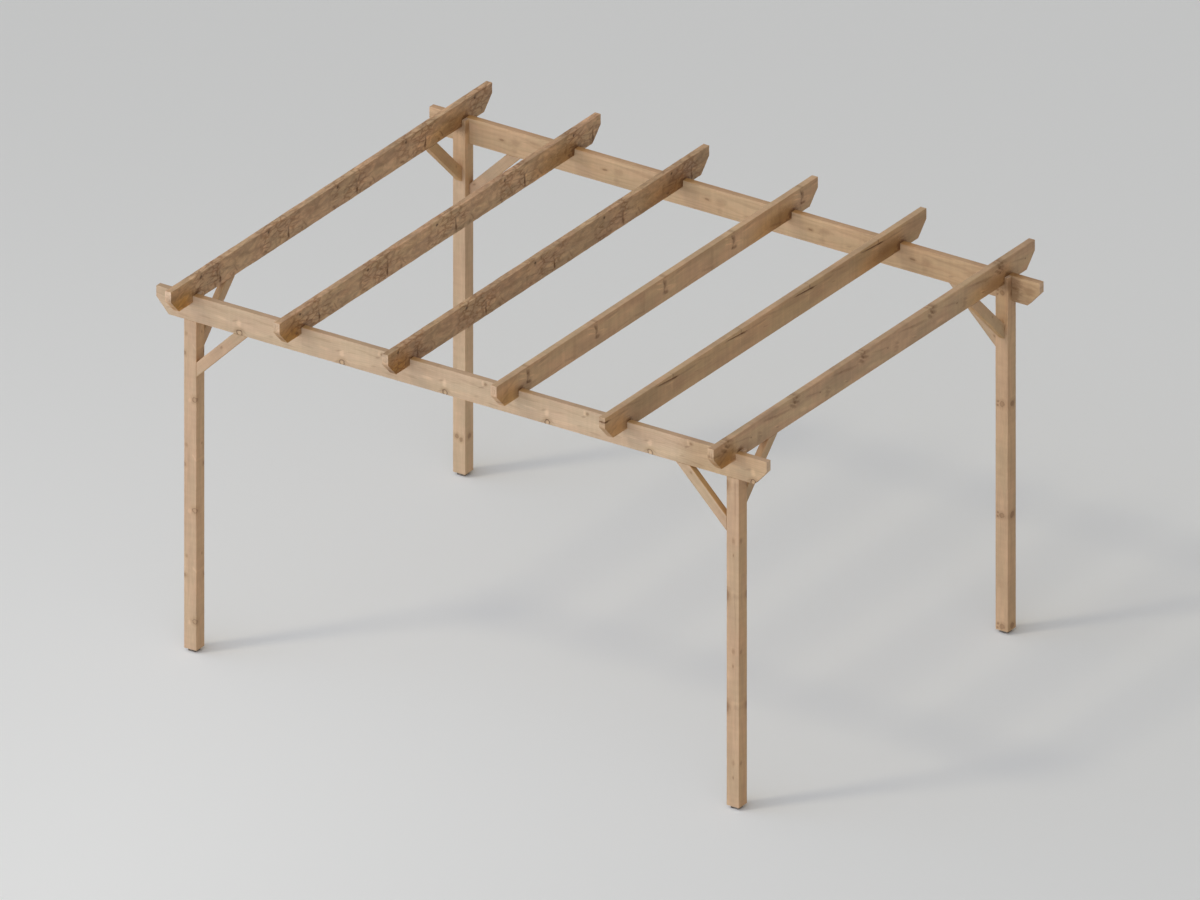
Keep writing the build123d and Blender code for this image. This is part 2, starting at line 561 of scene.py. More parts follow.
# %% Wire nodes together
class Wiring:
    """A node tree, and the way to add a node and feed it."""

    def __init__(self, tree):
        self.tree = tree

    def feed(self, socket, source):
        """Links a socket to an output, or sets it to a plain value."""
        if isinstance(source, bpy.types.NodeSocket):
            self.tree.links.new(source, socket)
        else:
            socket.default_value = source

    def fill(self, node, **sources):
        """Feeds inputs by name. Underscores in the names stand for spaces."""
        for name, source in sources.items():
            self.feed(node.inputs[name.replace("_", " ")], source)
        return node

    def node(self, kind, *sources, **settings):
        """Adds a node, and feeds its inputs in their order."""
        made = self.tree.nodes.new("ShaderNode" + kind)
        for name, value in settings.items():
            setattr(made, name, value)
        for socket, source in zip(made.inputs, sources):
            self.feed(socket, source)
        return made

    def use(self, group, **sources):
        """Places a node group."""
        return self.fill(self.node("Group", node_tree=group.tree), **sources).outputs


print("wiring ready")

# %% [markdown]
# The kinds of node that wood needs most get short methods of their own: sums
# of numbers and vectors, noise, a value carried from one range to another,
# and mixed colours. Each hands back an output to build on.

# %% Short methods for the usual nodes
class Graph(Wiring):
    """A node tree, with a short method for each usual kind of node."""

    def math(self, operation, *sources, clamp=False):
        return self.node("Math", *sources, operation=operation, use_clamp=clamp).outputs[0]

    def add(self, first, second, clamp=False):
        return self.math("ADD", first, second, clamp=clamp)

    def minus(self, first, second, clamp=False):
        return self.math("SUBTRACT", first, second, clamp=clamp)

    def times(self, first, second, clamp=False):
        return self.math("MULTIPLY", first, second, clamp=clamp)

    def vector(self, operation, *sources, output="Vector"):
        return self.node("VectorMath", *sources, operation=operation).outputs[output]

    def dot(self, first, second):
        return self.vector("DOT_PRODUCT", first, second, output="Value")

    def length(self, vector):
        return self.vector("LENGTH", vector, output="Value")

    def scaled(self, vector, factor):
        return self.fill(self.node("VectorMath", vector, operation="SCALE"), Scale=factor).outputs["Vector"]

    def split(self, vector):
        return list(self.node("SeparateXYZ", vector).outputs)

    def join(self, x, y, z):
        return self.node("CombineXYZ", x, y, z).outputs[0]

    def noise(self, place, fineness, detail=2.0, roughness=0.5, distortion=0.0, output="Fac"):
        """Soft noise, finer along each axis by its own measure."""
        if isinstance(fineness, tuple):
            place, fineness = self.vector("MULTIPLY", place, fineness), 1.0
        return self.fill(self.node("TexNoise"), Vector=place, Scale=fineness, Detail=detail,
                         Roughness=roughness, Distortion=distortion).outputs[output]

    def sway(self, place, fineness, detail=2.0, roughness=0.5):
        """Noise as a vector that swings round zero."""
        colour = self.noise(place, fineness, detail, roughness, output="Color")
        return self.vector("SUBTRACT", colour, (0.5, 0.5, 0.5))

    def ramp(self, value, low, high, to_low=0.0, to_high=1.0, kind="SMOOTHSTEP"):
        """A value carried from one range to another."""
        return self.fill(self.node("MapRange", interpolation_type=kind), Value=value, From_Min=low,
                         From_Max=high, To_Min=to_low, To_Max=to_high).outputs["Result"]

    def blend(self, amount, first, second, kind="MIX"):
        """Two colours mixed by amount."""
        node = self.node("Mix", amount, data_type="RGBA", blend_type=kind)
        self.feed(node.inputs[6], first)
        self.feed(node.inputs[7], second)
        return node.outputs[2]

    def tint(self, colour, by, amount=1.0):
        return self.blend(amount, colour, by, kind="MULTIPLY")


print("graph ready")

# %% [markdown]
# A finish that several materials share is built once, as a node group with
# named inputs and outputs, and each material then places it with its own
# values. Here a socket without a value is a vector, and the others are plain
# numbers.

# %% New node groups
def new_group(name, inputs, outputs):
    """A graph in a group of its own, the group's inputs, and its last node."""
    group = bpy.data.node_groups.new(name, "ShaderNodeTree")
    for way, sockets in (("INPUT", inputs), ("OUTPUT", outputs)):
        for socket_name, value in sockets.items():
            kind = "NodeSocketVector" if value is None else "NodeSocketFloat"
            socket = group.interface.new_socket(socket_name, in_out=way, socket_type=kind)
            if value is not None:
                socket.default_value = value
    return Graph(group), group.nodes.new("NodeGroupInput").outputs, group.nodes.new("NodeGroupOutput")


print("groups ready")

# %% [markdown]
# A board is sawn out of a round trunk, so its figure is not a picture wrapped
# round it. It is a slice through cones of growth rings. The group below works
# that way: it measures how far a point is from the pith of the trunk, which
# runs beside the board, and turns that distance into rings. The same rings
# then show as long arches on the wide face, as close lines on the edge and as
# arcs on the sawn end. Slow noise makes the pith wander, and finer noise
# stretched along the board gives streaks and fibres.

# %% Growth rings, as a node group
rings, given, leave = new_group(
    "growth_rings",
    {"Place": None, "Pith Y": 0.02, "Pith Z": -0.08, "Ring Width": 0.005, "Wander": 0.012, "Seed": 0.0},
    {"Latewood": 0.0, "Band": 0.0, "Streak": 0.0, "Fibre": 0.0},
)
along, across, up = rings.split(given["Place"])
shifted = rings.add(along, given["Seed"])
board = rings.join(shifted, across, up)
wandering = rings.scaled(rings.sway(board, (0.9, 1.5, 1.5)), rings.times(given["Wander"], 4.0))
from_pith_y = rings.add(rings.minus(across, given["Pith Y"]), rings.split(wandering)[1])
from_pith_z = rings.add(rings.minus(up, given["Pith Z"]), rings.split(wandering)[2])
radius = rings.length(rings.join(0.0, from_pith_y, from_pith_z))
wobble = rings.minus(rings.noise(board, (5.0, 26.0, 26.0), 3.0), 0.5)
radius = rings.add(radius, rings.times(wobble, rings.times(given["Ring Width"], 1.4)))
count = rings.math("DIVIDE", radius, given["Ring Width"])
year = rings.math("FRACT", count)
rings.fill(
    leave,
    Latewood=rings.times(rings.ramp(year, 0.35, 0.88), rings.ramp(year, 0.9, 1.0, 1.0, 0.0)),
    Band=rings.noise(rings.join(count, given["Seed"], 0.0), (0.23, 1.0, 1.0), 2.0, 0.6),
    Streak=rings.noise(rings.join(shifted, from_pith_y, from_pith_z), (1.6, 45.0, 45.0), 4.0, 0.55),
    Fibre=rings.noise(board, (14.0, 420.0, 420.0), 2.0, 0.6),
)
print("growth rings:", len(rings.tree.nodes), "nodes")

# %% [markdown]
# A knot is the root of a branch that the trunk grew round. It runs through
# the timber along its own axis, has a dark rim of bark, and the grain parts
# to flow past it. One group makes one knot and hands on what the knots before
# it made, so several stand in a row. It bends the place that the growth rings
# will read, which is what makes the grain part.

# %% One knot, as a node group
knot, given, leave = new_group(
    "knot",
    {"Place": None, "Bent Place": None, "Ragged": 0.5, "Core": 0.0, "Rim": 0.0, "Halo": 0.0, "Centre": None,
     "Axis": None, "Radius": 0.01, "Stretch": 1.3, "Core Depth": 1.0, "Rim Depth": 1.0},
    {"Bent Place": None, "Core": 0.0, "Rim": 0.0, "Halo": 0.0},
)
offset = knot.vector("SUBTRACT", given["Place"], given["Centre"])
on_axis = knot.scaled(given["Axis"], knot.dot(offset, given["Axis"]))
beside = knot.vector("SUBTRACT", offset, on_axis)
beside_x, beside_y, beside_z = knot.split(beside)
round_place = knot.join(knot.math("DIVIDE", beside_x, given["Stretch"]), beside_y, beside_z)
distance = knot.math("DIVIDE", knot.length(round_place), given["Radius"])
distance = knot.add(distance, knot.times(knot.minus(given["Ragged"], 0.5), 0.9))
core = knot.times(knot.ramp(distance, 0.8, 1.05, 1.0, 0.0), given["Core Depth"])
from_rim = knot.math("ABSOLUTE", knot.minus(distance, 1.0))
rim = knot.times(knot.ramp(from_rim, 0.0, 0.30, 1.0, 0.0), given["Rim Depth"])
halo = knot.ramp(distance, 0.9, 2.9, 1.0, 0.0)
fade = knot.math("EXPONENT", knot.times(knot.times(distance, distance), -0.32))
pull = knot.scaled(beside, knot.times(fade, 0.85))
knot.fill(
    leave,
    Bent_Place=knot.vector("SUBTRACT", given["Bent Place"], pull),
    Core=knot.math("MAXIMUM", given["Core"], core),
    Rim=knot.math("MAXIMUM", given["Rim"], rim),
    Halo=knot.math("MAXIMUM", given["Halo"], halo),
)
print("knot:", len(knot.tree.nodes), "nodes")

# %% [markdown]
# Boards carry marks of other shapes too: a bark pocket, a dark seam, a pale
# flare beside a knot. Each is a soft ellipse, turned in the plane of the wide
# face, with a ragged outline. Dark marks add to one value and pale marks take
# away from it, so a chain of these groups sketches the figure of a face.

# %% One mark, as a node group
# The same group also lays painted shade: dark marks where shade falls, pale marks where light is painted.
mark, given, leave = new_group(
    "mark",
    {"Place": None, "Ragged": 0.5, "Tone": 0.0, "Centre": None, "Long Way": None, "Short Way": None,
     "Strength": 0.5},
    {"Tone": 0.0},
)
offset = mark.vector("SUBTRACT", given["Place"], given["Centre"])
reach = mark.length(mark.join(mark.dot(offset, given["Long Way"]), mark.dot(offset, given["Short Way"]), 0.0))
reach = mark.add(reach, mark.minus(given["Ragged"], 0.5))
inside = mark.ramp(reach, 0.35, 1.25, 1.0, 0.0)
mark.fill(leave, Tone=mark.add(given["Tone"], mark.times(inside, given["Strength"])))
print("mark:", len(mark.tree.nodes), "nodes")

# %% [markdown]
# The three rafters on the left were cut from rougher stock. Their sides show
# wavy, gnarled grain with dark seams where the blade tore the fibres. A cell
# pattern whose borders are bent by noise gives such ragged lines, and a
# second noise keeps only some stretches of them.

# %% Torn grain, as a node group
torn, given, leave = new_group(
    "torn_grain", {"Place": None, "Seed": 0.0}, {"Seam": 0.0, "Swell": 0.0})
shifted = torn.vector("ADD", given["Place"], torn.join(given["Seed"], 0.0, 0.0))
bend = torn.vector("MULTIPLY", torn.sway(shifted, 26.0, 3.0, 0.6), (0.05, 0.03, 0.03))
cell_place = torn.vector("MULTIPLY", torn.vector("ADD", shifted, bend), (12.0, 31.0, 31.0))
cells = torn.node("TexVoronoi", feature="DISTANCE_TO_EDGE")
torn.fill(cells, Vector=cell_place, Scale=1.0)
seam = torn.ramp(cells.outputs["Distance"], 0.0, 0.2, 1.0, 0.0)
kept = torn.ramp(torn.noise(shifted, 9.0), 0.36, 0.54)
swell = torn.noise(shifted, (10.0, 26.0, 26.0), 3.0, 0.55, 1.2)
torn.fill(leave, Seam=torn.times(seam, kept), Swell=swell)
print("torn grain:", len(torn.tree.nodes), "nodes")

# %% [markdown]
# Edges are touched, knocked and rained on more than faces, so they wear paler.
# Because a timber is a plain block in its own frame, the worn band can be
# found from the place alone: it is where a point is close to two sides at
# once. Ragged noise keeps the band from being a ruled line.

# %% Worn edges, as a node group
worn, given, leave = new_group(
    "worn_edges", {"Place": None, "Half Size": None, "Reach": 0.006}, {"Wear": 0.0})
size_in = worn.vector("ABSOLUTE", given["Place"])
gap_x, gap_y, gap_z = worn.split(worn.vector("SUBTRACT", given["Half Size"], size_in))
nearest = worn.math("MAXIMUM", gap_y, gap_z)
for other in (gap_y, gap_z):
    nearest = worn.math("MINIMUM", nearest, worn.math("MAXIMUM", gap_x, other))
patch = worn.minus(worn.noise(given["Place"], (9.0, 40.0, 40.0), 3.0), 0.45)
gap = worn.add(nearest, worn.times(patch, 0.02))
worn.fill(leave, Wear=worn.ramp(gap, 0.0, given["Reach"], 1.0, 0.0))
print("worn edges:", len(worn.tree.nodes), "nodes")

# %% [markdown]
# Every timber gets a material of its own, because no two boards come out of
# the same place in a tree, but all of them follow one recipe. The recipe is a
# list of layers, one short function each, and every layer is given the same
# four things: the graph, the places and masks found so far (at), the colour,
# shade and height built so far (look), and what is wanted of this timber's
# wood. What a timber doesn't name, it takes from the plain values here.
#
# Colours are linear values. A tone is pale wood, dark wood and knot.

# %% What a finish starts from
PLANED = ((0.566, 0.396, 0.254, 1.0), (0.360, 0.218, 0.108, 1.0), (0.19, 0.085, 0.030, 1.0))
ROUGH = ((0.475, 0.307, 0.174, 1.0), (0.260, 0.152, 0.073, 1.0), (0.11, 0.050, 0.018, 1.0))
PLAIN_WOOD = {
    "tone": PLANED, "knots": (), "marks": (), "joints": (), "sheltered": (), "torn": False,
    "ring_width": 0.007, "wander": 0.014, "figure": 0.18, "streaks": 0.18, "blotch": 0.10, "sawn": 0.03,
    "level": (1.0, 1.0, 1.0), "top_tone": (0.85, 0.87, 0.92), "end_level": (1.0, 1.0, 1.0),
}
print("plain wood:", len(PLAIN_WOOD), "values")

# %% [markdown]
# The first layer finds where a point is. A Mapping node turns the object's
# place into the timber's own frame, along, across and up, so the same recipe
# fits a post, a beam or a slanted brace. It also counts the length in year's
# steps. Knots and marks are drawn again in each step, and a little noise
# shifts them, so that no two steps are quite alike.

# %% Layer: the timber's own frame
def find_place(graph, at, look, wood):
    coords = graph.node("TexCoord").outputs
    at.normal = coords["Normal"]
    at.upward = graph.split(at.normal)[2]
    own_frame = graph.node("Mapping", coords["Object"], wood.centre, wood.turn, vector_type="TEXTURE")
    at.place = own_frame.outputs[0]
    shift = graph.vector("MULTIPLY", graph.sway(at.place, (9.0, 22.0, 22.0)), (0.028, 0.0, 0.014))
    along, across, at.up = graph.split(graph.vector("ADD", at.place, shift))
    at.step = graph.math("FRACT", graph.math("DIVIDE", graph.minus(along, wood.start), YEAR_STEP))
    at.in_step = graph.join(graph.times(at.step, YEAR_STEP), across, at.up)
    at.ragged = graph.noise(at.place, (45.0, 80.0, 80.0), 3.0, 0.6)


print("layer ready: own frame")

# %% [markdown]
# Knots come before the rings, because they bend the place that the rings
# read. Knots and marks are listed in millimetres: lengths from the start of
# a year's step, heights from the timber's middle. A knot is (along, across,
# up, axis, radius, stretch, core, rim) and a mark is (along, up, half
# length, half height, tilt in degrees, strength), with depths and strengths
# in hundredths. Painted shade is laid as marks too, counted from the
# timber's middle instead: dark ones are painted shade at the joints and
# round the rafter tails, and pale ones are painted light.

# %% Layer: knots, marks and painted shade
def grow_knots(graph, at, look, wood):
    at.bent, at.core, at.rim, at.halo = at.place, 0.0, 0.0, 0.0
    for along, across, up, axis, radius, stretch, core_depth, rim_depth in wood.knots:
        made = graph.use(knot, Place=at.in_step, Bent_Place=at.bent, Ragged=at.ragged, Core=at.core,
                         Rim=at.rim, Halo=at.halo, Centre=[value / 1000 for value in (along, across, up)],
                         Axis=Vector(axis).normalized(), Radius=radius / 1000, Stretch=stretch,
                         Core_Depth=core_depth / 100, Rim_Depth=rim_depth / 100)
        at.bent, at.core, at.rim, at.halo = (made[name] for name in ("Bent Place", "Core", "Rim", "Halo"))


def lay_marks(graph, at, look, wood):
    at.marked = 0.0
    # Marks come back in every year's step; painted shade is laid once.
    for place, marks in ((at.in_step, wood.marks), (at.place, wood.joints)):
        for along, up, half_length, half_height, tilt, strength in marks:
            lean = math.radians(tilt)
            long_way = Vector((math.cos(lean), 0.0, math.sin(lean))) / (half_length / 1000)
            short_way = Vector((-math.sin(lean), 0.0, math.cos(lean))) / (half_height / 1000)
            at.marked = graph.use(mark, Place=place, Ragged=at.ragged, Tone=at.marked,
                                  Centre=(along / 1000, 0.0, up / 1000), Long_Way=long_way,
                                  Short_Way=short_way, Strength=strength / 100)["Tone"]


print("layers ready: knots and marks")

# %% [markdown]
# Now the wood itself. The late wood of each ring is darker, some bands of
# years are darker than others, and resin gives streaks. All of it only moves
# one amount between pale and dark wood. The figure says how strongly.

# %% Layer: rings and streaks
def show_rings(graph, at, look, wood):
    grain = graph.use(rings, Place=at.bent, Pith_Y=wood.pith[0], Pith_Z=wood.pith[1],
                      Ring_Width=wood.ring_width, Wander=wood.wander, Seed=wood.seed)
    at.latewood, at.fibre = grain["Latewood"], grain["Fibre"]
    amount = graph.times(at.latewood, wood.figure)
    amount = graph.add(amount, graph.ramp(grain["Band"], 0.35, 0.7, 0.0, wood.figure))
    amount = graph.add(amount, graph.ramp(grain["Streak"], 0.5, 0.8, 0.0, wood.streaks))
    amount = graph.add(amount, graph.times(at.halo, 0.35), clamp=True)
    pale, dark = wood.tone[:2]
    look.colour = graph.blend(amount, pale, dark)
    look.height = graph.add(graph.times(at.latewood, 0.22), graph.times(at.fibre, 0.25))


print("layer ready: rings")

# %% [markdown]
# Wood that has stood outside changes slowly along its length, in hue and in
# lightness, and one timber is a little paler or darker than the next. Fibres
# are too fine to see one by one but break up the shine. A saw leaves faint
# bands square to the length.

# %% Layer: slow changes
REDDISH = (1.03, 0.98, 0.96, 1.0)
GREENISH = (0.98, 1.0, 0.96, 1.0)


def change_slowly(graph, at, look, wood):
    drawn = graph.vector("ADD", at.place, (wood.seed, 0.0, 0.0))
    slow = graph.split(graph.noise(drawn, (3.5, 11.0, 11.0), 3.0, 0.55, output="Color"))
    swing = graph.ramp(slow[0], 0.35, 0.65, 0.5 - 5.0 * wood.blotch, 0.5 + 5.0 * wood.blotch)
    look.colour = graph.tint(look.colour, graph.blend(swing, REDDISH, GREENISH))
    look.colour = graph.tint(look.colour, (*wood.level, 1.0))
    look.shade = graph.ramp(slow[1], 0.3, 0.7, 1.0 - wood.blotch, 1.0 + wood.blotch)
    look.shade = graph.times(look.shade, graph.ramp(at.fibre, 0.3, 0.7, 0.95, 1.04))
    bands = graph.noise(at.bent, (30.0, 2.5, 2.5))
    look.shade = graph.times(look.shade, graph.ramp(bands, 0.3, 0.7, 1.0 - wood.sawn, 1.0 + wood.sawn))


print("layer ready: slow changes")

# %% [markdown]
# The torn grain shows most around the bark pocket of each year's step and
# fades towards the next. Its seams are dark and lie deep, and the wood
# between them swells. Dark marks and painted shade mix in bark later on,
# when all the wood is there. Pale ones, painted light among them, lighten
# the wood at once.

# %% Layer: torn sides and pale marks
TORN_BROWN = (0.66, 0.56, 0.46, 1.0)


def tear_sides(graph, at, look, wood):
    if wood.torn:
        gnarl = graph.use(torn, Place=at.place, Seed=wood.seed)
        window = graph.times(graph.ramp(at.step, 0.0, 0.1, 0.5, 1.0),
                             graph.ramp(at.step, 0.45, 0.7, 1.0, 0.25))
        seam = graph.times(gnarl["Seam"], window, clamp=True)
        look.shade = graph.times(look.shade, graph.ramp(gnarl["Swell"], 0.32, 0.68, 0.86, 1.19))
        look.colour = graph.tint(look.colour, TORN_BROWN, seam)
        look.height = graph.add(look.height, graph.times(gnarl["Swell"], 1.8))
        look.height = graph.minus(look.height, graph.times(seam, 1.2))
    look.shade = graph.times(look.shade, graph.ramp(at.marked, -1.0, 0.0, 1.6, 1.0, kind="LINEAR"))


print("layer ready: torn sides")

# %% [markdown]
# Painted warm shade: beside a joint, in a corner and on a face that looks
# down, a golden tint is painted into the colour for the shade there and the
# warm light that the wood round it bounces in. A warm shade stretch is
# (starts, full, fades, ends, amount, direction), in metres along the
# timber. It takes only the faces that look in its direction. Where that is
# None, it takes every face but the top, and most of all the lower edge.

# %% Layer: painted warm shade
PAINTED_WARM_SHADE = (0.94, 0.71, 0.29, 1.0)


def paint_warm_shade(graph, at, look, wood):
    # Every face that looks down gets painted warm shade.
    at.dry = graph.ramp(at.upward, -0.45, -0.25, 0.65, 0.0)
    length_along = graph.split(at.place)[0]
    for starts, full, fades, ends, amount, direction in wood.sheltered:
        stretch = graph.times(graph.ramp(length_along, starts, full, 0.0, amount),
                              graph.ramp(length_along, fades, ends, 1.0, 0.0))
        if direction:
            reached = graph.ramp(graph.dot(at.normal, Vector(direction).normalized()), 0.4, 0.7)
        else:
            reached = graph.times(graph.ramp(at.upward, 0.3, 0.6, 1.0, 0.0),
                                  graph.ramp(at.up, -0.045, 0.065, 1.0, 0.25))
        at.dry = graph.math("MAXIMUM", at.dry, graph.times(stretch, reached))
    look.colour = graph.tint(look.colour, PAINTED_WARM_SHADE, at.dry)


print("layer ready: sheltered wood")

# %% [markdown]
# The tops face the sky and take a tone of their own, partly silver from
# rain and sun and partly painted light that makes each timber's top
# lighter or darker, and all edges wear a little pale. The sawn ends are
# fresh wood, with every ring cut square: they are found by comparing the
# normal with the timber's own length.

# %% Layer: weathered and lit tops, wear and sawn ends
SAWN_END = (0.60, 0.423, 0.280)


def weather_light_and_saw(graph, at, look, wood):
    wear = graph.use(worn, Place=at.place, Half_Size=wood.half_size, Reach=0.005)["Wear"]
    look.shade = graph.times(look.shade, graph.ramp(wear, 0.0, 1.0, 1.0, 1.10))
    # The top tone, part weather and part painted light, stays off where painted warm shade lies.
    weathered_and_lit = graph.minus(graph.ramp(at.upward, 0.6, 0.9), at.dry, clamp=True)
    look.colour = graph.tint(look.colour, (*wood.top_tone, 1.0), weathered_and_lit)
    facing = graph.math("ABSOLUTE", graph.dot(at.normal, grain_axis(wood.turn)))
    at.end = graph.ramp(facing, 0.5, 0.68)
    fresh = [level * value for level, value in zip(wood.end_level, SAWN_END)] + [1.0]
    cover = graph.minus(0.85, graph.times(at.dry, 0.6))
    look.colour = graph.scaled(graph.blend(graph.times(at.end, cover), look.colour, fresh), look.shade)


print("layer ready: weather and sawn ends")

# %% [markdown]
# Bark and knots lie on top of everything, the knot's rim darkest of all.
# Painted shade mixes in the same dark bark colour as the dark marks, and
# sinks the fine height with them. Then the colour, the fine height and the
# roughness go to the shader. Late wood is harder and takes a little more
# shine, and fibres and sawn ends take less.

# %% The recipe, all layers together
MARK_AND_SHADE_DARK = (0.15, 0.062, 0.016, 1.0)


def set_bark_and_knots(graph, at, look, wood):
    dark_mark_and_shade = graph.math("MAXIMUM", at.marked, 0.0)
    knot_colour = wood.tone[2]
    rim_colour = [0.6 * value for value in knot_colour[:3]] + [1.0]
    look.colour = graph.blend(graph.math("MINIMUM", dark_mark_and_shade, 0.95), look.colour, MARK_AND_SHADE_DARK)
    look.colour = graph.blend(at.core, look.colour, knot_colour)
    look.colour = graph.blend(graph.times(at.rim, 0.85), look.colour, rim_colour)
    look.height = graph.minus(look.height, graph.times(at.rim, 0.5))
    look.height = graph.minus(look.height, graph.times(dark_mark_and_shade, 0.9))
    roughness = graph.add(0.56, graph.times(at.fibre, 0.2))
    roughness = graph.minus(roughness, graph.times(at.latewood, 0.08))
    look.roughness = graph.add(roughness, graph.times(at.end, 0.12), clamp=True)


LAYERS = (find_place, grow_knots, lay_marks, show_rings, change_slowly, tear_sides, paint_warm_shade,
          weather_light_and_saw, set_bark_and_knots)


def timber_finish(name, **wanted):
    """A wood material in the frame of one timber."""
    wood, at, look = SimpleNamespace(**{**PLAIN_WOOD, **wanted}), SimpleNamespace(), SimpleNamespace()
    material = bpy.data.materials.new(name)
    material.use_nodes = True
    material.node_tree.nodes.clear()
    graph = Graph(material.node_tree)
    for layer in LAYERS:
        layer(graph, at, look, wood)
    bump = graph.fill(graph.node("Bump"), Strength=0.8, Distance=0.001, Height=look.height)
    shader = graph.fill(graph.node("BsdfPrincipled"), Base_Color=look.colour, Roughness=look.roughness,
                        Normal=bump.outputs[0], Specular_IOR_Level=0.5)
    graph.node("OutputMaterial", shader.outputs[0])
    return material


print("timber recipe:", len(LAYERS), "layers")

# %% [markdown]
# The front beam shows small arched knots low on its face with a pale flare
# over each. The back beam is straight grained, with pin knots along its
# middle. A knot that a branch left whole is pale inside a dark ring, so its
# core is low. Dead ones are dark all through.

# %% Marks of the beams
THROUGH = (0.0, 1.0, 0.0)
FRONT_KNOTS = [
    (200, 0, -71, THROUGH, 17.5, 1.0, 0, 100), (491, 0, 59, THROUGH, 7, 1.2, 40, 40),
]
FRONT_MARKS = [
    (196, -10, 19, 28, 8, -34), (200, -72, 9, 12, 0, -45), (171, 3, 28, 8, 20, 26),
    (72, -7, 52, 10, -4, -26), (472, 60, 12, 20, 0, -30), (464, 34, 22, 8, 24, 28),
    (425, -36, 24, 7, 10, 22), (380, 40, 110, 8, -5, 14), (330, -45, 110, 12, 4, -16),
    (600, 10, 80, 12, 6, -18), (690, -28, 60, 9, -6, 16), (60, 45, 80, 10, -3, 13),
    (170, -66, 34, 6, 30, 16), (235, -60, 30, 6, -34, 16), (540, -58, 60, 7, -4, 16),
    (270, 10, 60, 6, 8, 12),
]
BACK_KNOTS = [
    (195, 0, 3, THROUGH, 6.5, 2.2, 55, 30),
]
BACK_MARKS = [
    (295, 10, 44, 30, 6, 22), (285, -48, 26, 22, 0, 16), (475, -36, 26, 7, 12, 22),
    (500, 40, 220, 12, -4, 16), (300, 70, 180, 10, 0, -16), (100, 28, 130, 12, 2, 13),
]
BACK_PAINTED_SHADE = [(2005, 0, 70, 160, 0, 42), (2120, 0, 120, 200, 0, 16), (1550, 0, 850, 300, 0, 8)]
print("beams:", len(FRONT_MARKS), "and", len(BACK_MARKS), "marks in a step")

# %% [markdown]
# The beams are straight, clear boards, so their figure is quiet: wide rings
# in front, closer ones at the back. Beside each rafter the top of a beam
# gets painted warm shade for the rafter's shadow, and the right-hand part
# of each beam's front-facing side gets painted shade and painted warm
# shade. Where the pith of a timber ran is drawn by chance, one timber after
# the other. For the two beams it was given instead.

# %% Wood of the beams
rng = random.Random(7)
order = list(timbers)


def draw_pith():
    """Where the middle of the trunk was, across and up from the timber's middle."""
    return rng.uniform(-0.03, 0.03), rng.choice((-1, 1)) * rng.uniform(0.10, 0.18)


def give_wood(node, **wanted):
    timber, centre, size, turn = timbers[node]
    finish = timber_finish(node + "_wood", centre=centre, turn=turn, half_size=size / 2,
                           seed=3.7 * order.index(node), **wanted)
    timber.data.materials.clear()
    timber.data.materials.append(finish)


rafter_places = [timbers[f"rafter_{number}"][1].x for number in range(1, 7)]
shade_beside_rafters = [(x - 0.16, x - 0.03, x + 0.03, x + 0.16, 0.65, (0, 0, 1)) for x in rafter_places]
draw_pith()
give_wood("front_beam", start=-1.801, pith=(0.015, -0.13), knots=FRONT_KNOTS, marks=FRONT_MARKS,
          joints=[(1690, 0, 150, 200, 0, 20)], level=(1.03, 1.06, 1.09), top_tone=(0.855, 0.830, 0.840),
          sheltered=[*shade_beside_rafters, (1.50, 1.75, 2.3, 2.4, 0.22, (0, -1, 0))],
          blotch=0.06, figure=0.15, streaks=0.10, ring_width=0.012, wander=0.030)
draw_pith()
give_wood("back_beam", start=-1.874, pith=(0.16, 0.02), knots=BACK_KNOTS, marks=BACK_MARKS,
          joints=BACK_PAINTED_SHADE, level=(1.015, 0.985, 0.91), top_tone=(0.900, 0.870, 0.895),
          sheltered=[*shade_beside_rafters, (0.1, 1.5, 2.3, 2.4, 0.10, (0, -1, 0))],
          blotch=0.06, figure=0.24, streaks=0.20, ring_width=0.008, wander=0.008)
print("sheltered stretches beside the rafters:", len(shade_beside_rafters))

# %% [markdown]
# The rough rafters, 1 to 3, share one figure: a small black knot at the top
# edge, a bark pocket that runs down most of the face, and wavy seams to both
# sides of it. The other three are planed, and each shows a figure of its own:
# a bent flare, a long seam, and crossed streaks.

# %% Marks of the rafters
ROUGH_KNOTS = [(100, 0, 57, THROUGH, 8.5, 1.0, 100, 50)]
ROUGH_MARKS = [
    (309, -18, 9, 52, 0, 60), (309, -48, 16, 24, 8, 55), (285, 26, 28, 7, 12, 50), (288, -8, 13, 6, 0, 42),
    (175, -9, 10, 7, 0, 40), (176, -45, 6, 26, 4, 34), (85, -13, 50, 5, -5, 42), (57, -57, 22, 9, -10, 48),
    (240, 6, 62, 5, -12, 34), (240, -34, 60, 5, -15, 30), (390, 4, 64, 5, -8, 36),
    (487, -40, 38, 7, -54, 42), (457, -60, 16, 13, 0, 48), (575, 18, 95, 18, -8, 24),
    (329, -4, 16, 14, 0, -40), (240, -20, 52, 11, -10, -26), (335, 58, 24, 11, -10, -20),
    (405, -22, 60, 12, -6, -16), (12, -12, 22, 36, 0, 26), (610, -58, 70, 6, 4, 22),
    (290, 88, 12, 9, 0, 42),
]
